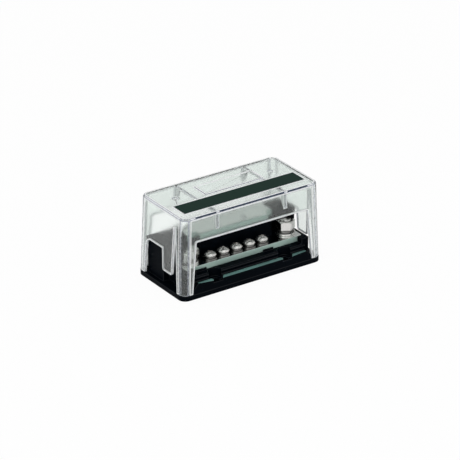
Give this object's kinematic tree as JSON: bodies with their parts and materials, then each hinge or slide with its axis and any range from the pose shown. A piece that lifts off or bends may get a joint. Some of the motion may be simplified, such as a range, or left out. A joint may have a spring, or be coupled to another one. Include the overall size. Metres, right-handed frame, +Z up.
{
  "type": "bus bar",
  "caption": "Covered electrical bus bar: black moulded base, tinned bar with pan head terminal screws and a threaded stud at each end, under a clear lift-off cover.",
  "frame": {"origin": "centre of the base's underside", "axes": "+X along the bar, +Y to the rear, +Z up; the terminal screws face -Y"},
  "size_m": [0.124, 0.061, 0.0648],
  "materials": {
    "black_plastic": "satin",
    "tinned_metal": "satin",
    "plated_steel": "polished",
    "clear_plastic": "frosted",
    "green_label": "satin"
  },
  "bodies": {
    "root": {"base": "black_plastic", "barrier": "black_plastic", "bus_bar": "tinned_metal", "stud_left": "plated_steel", "stud_right": "plated_steel", "flat_washer_left": "plated_steel", "flat_washer_right": "plated_steel"},
    "cover": {"cover": "clear_plastic", "label_strip": "green_label"},
    "clamp_1": {"clamp_washer_1": "plated_steel"},
    "screw_1": {"terminal_screw_1": "plated_steel"},
    "clamp_2": {"clamp_washer_2": "plated_steel"},
    "screw_2": {"terminal_screw_2": "plated_steel"},
    "clamp_3": {"clamp_washer_3": "plated_steel"},
    "screw_3": {"terminal_screw_3": "plated_steel"},
    "clamp_4": {"clamp_washer_4": "plated_steel"},
    "screw_4": {"terminal_screw_4": "plated_steel"},
    "clamp_5": {"clamp_washer_5": "plated_steel"},
    "screw_5": {"terminal_screw_5": "plated_steel"},
    "nut_washer_left": {"spring_washer_left": "plated_steel"},
    "nut_left": {"stud_nut_left": "plated_steel"},
    "nut_washer_right": {"spring_washer_right": "plated_steel"},
    "nut_right": {"stud_nut_right": "plated_steel"}
  },
  "joints": [
    {"name": "cover_lift", "type": "slide", "parent": "root", "child": "cover", "axis": [0, 0, 1], "range_m": [0, 0.05]},
    {"name": "clamp_1_rise", "type": "slide", "parent": "root", "child": "clamp_1", "axis": [0, 0, 1], "range_m": [0, 0.003]},
    {"name": "screw_1_turn", "type": "hinge", "parent": "clamp_1", "child": "screw_1", "pos_m": [-0.0271, -0.014, 0.0202], "axis": [0, 0, 1], "range_deg": [0, 1350]},
    {"name": "clamp_2_rise", "type": "slide", "parent": "root", "child": "clamp_2", "axis": [0, 0, 1], "range_m": [0, 0.003]},
    {"name": "screw_2_turn", "type": "hinge", "parent": "clamp_2", "child": "screw_2", "pos_m": [-0.0156, -0.014, 0.0202], "axis": [0, 0, 1], "range_deg": [0, 1350]},
    {"name": "clamp_3_rise", "type": "slide", "parent": "root", "child": "clamp_3", "axis": [0, 0, 1], "range_m": [0, 0.003]},
    {"name": "screw_3_turn", "type": "hinge", "parent": "clamp_3", "child": "screw_3", "pos_m": [-0.0041, -0.014, 0.0202], "axis": [0, 0, 1], "range_deg": [0, 1350]},
    {"name": "clamp_4_rise", "type": "slide", "parent": "root", "child": "clamp_4", "axis": [0, 0, 1], "range_m": [0, 0.003]},
    {"name": "screw_4_turn", "type": "hinge", "parent": "clamp_4", "child": "screw_4", "pos_m": [0.0074, -0.014, 0.0202], "axis": [0, 0, 1], "range_deg": [0, 1350]},
    {"name": "clamp_5_rise", "type": "slide", "parent": "root", "child": "clamp_5", "axis": [0, 0, 1], "range_m": [0, 0.003]},
    {"name": "screw_5_turn", "type": "hinge", "parent": "clamp_5", "child": "screw_5", "pos_m": [0.0189, -0.014, 0.0202], "axis": [0, 0, 1], "range_deg": [0, 1350]},
    {"name": "nut_washer_left_rise", "type": "slide", "parent": "root", "child": "nut_washer_left", "axis": [0, 0, 1], "range_m": [0, 0.003]},
    {"name": "nut_left_turn", "type": "hinge", "parent": "nut_washer_left", "child": "nut_left", "pos_m": [-0.043, -0.0098, 0.0202], "axis": [0, 0, 1], "range_deg": [0, 864]},
    {"name": "nut_washer_right_rise", "type": "slide", "parent": "root", "child": "nut_washer_right", "axis": [0, 0, 1], "range_m": [0, 0.003]},
    {"name": "nut_right_turn", "type": "hinge", "parent": "nut_washer_right", "child": "nut_right", "pos_m": [0.043, -0.0098, 0.0202], "axis": [0, 0, 1], "range_deg": [0, 864]}
  ],
  "couplings": [
    {"joint": "screw_1_turn", "follows": "clamp_1_rise", "rad_per_m": 7854},
    {"joint": "screw_2_turn", "follows": "clamp_2_rise", "rad_per_m": 7854},
    {"joint": "screw_3_turn", "follows": "clamp_3_rise", "rad_per_m": 7854},
    {"joint": "screw_4_turn", "follows": "clamp_4_rise", "rad_per_m": 7854},
    {"joint": "screw_5_turn", "follows": "clamp_5_rise", "rad_per_m": 7854},
    {"joint": "nut_left_turn", "follows": "nut_washer_left_rise", "rad_per_m": 5026.5},
    {"joint": "nut_right_turn", "follows": "nut_washer_right_rise", "rad_per_m": 5026.5}
  ]
}
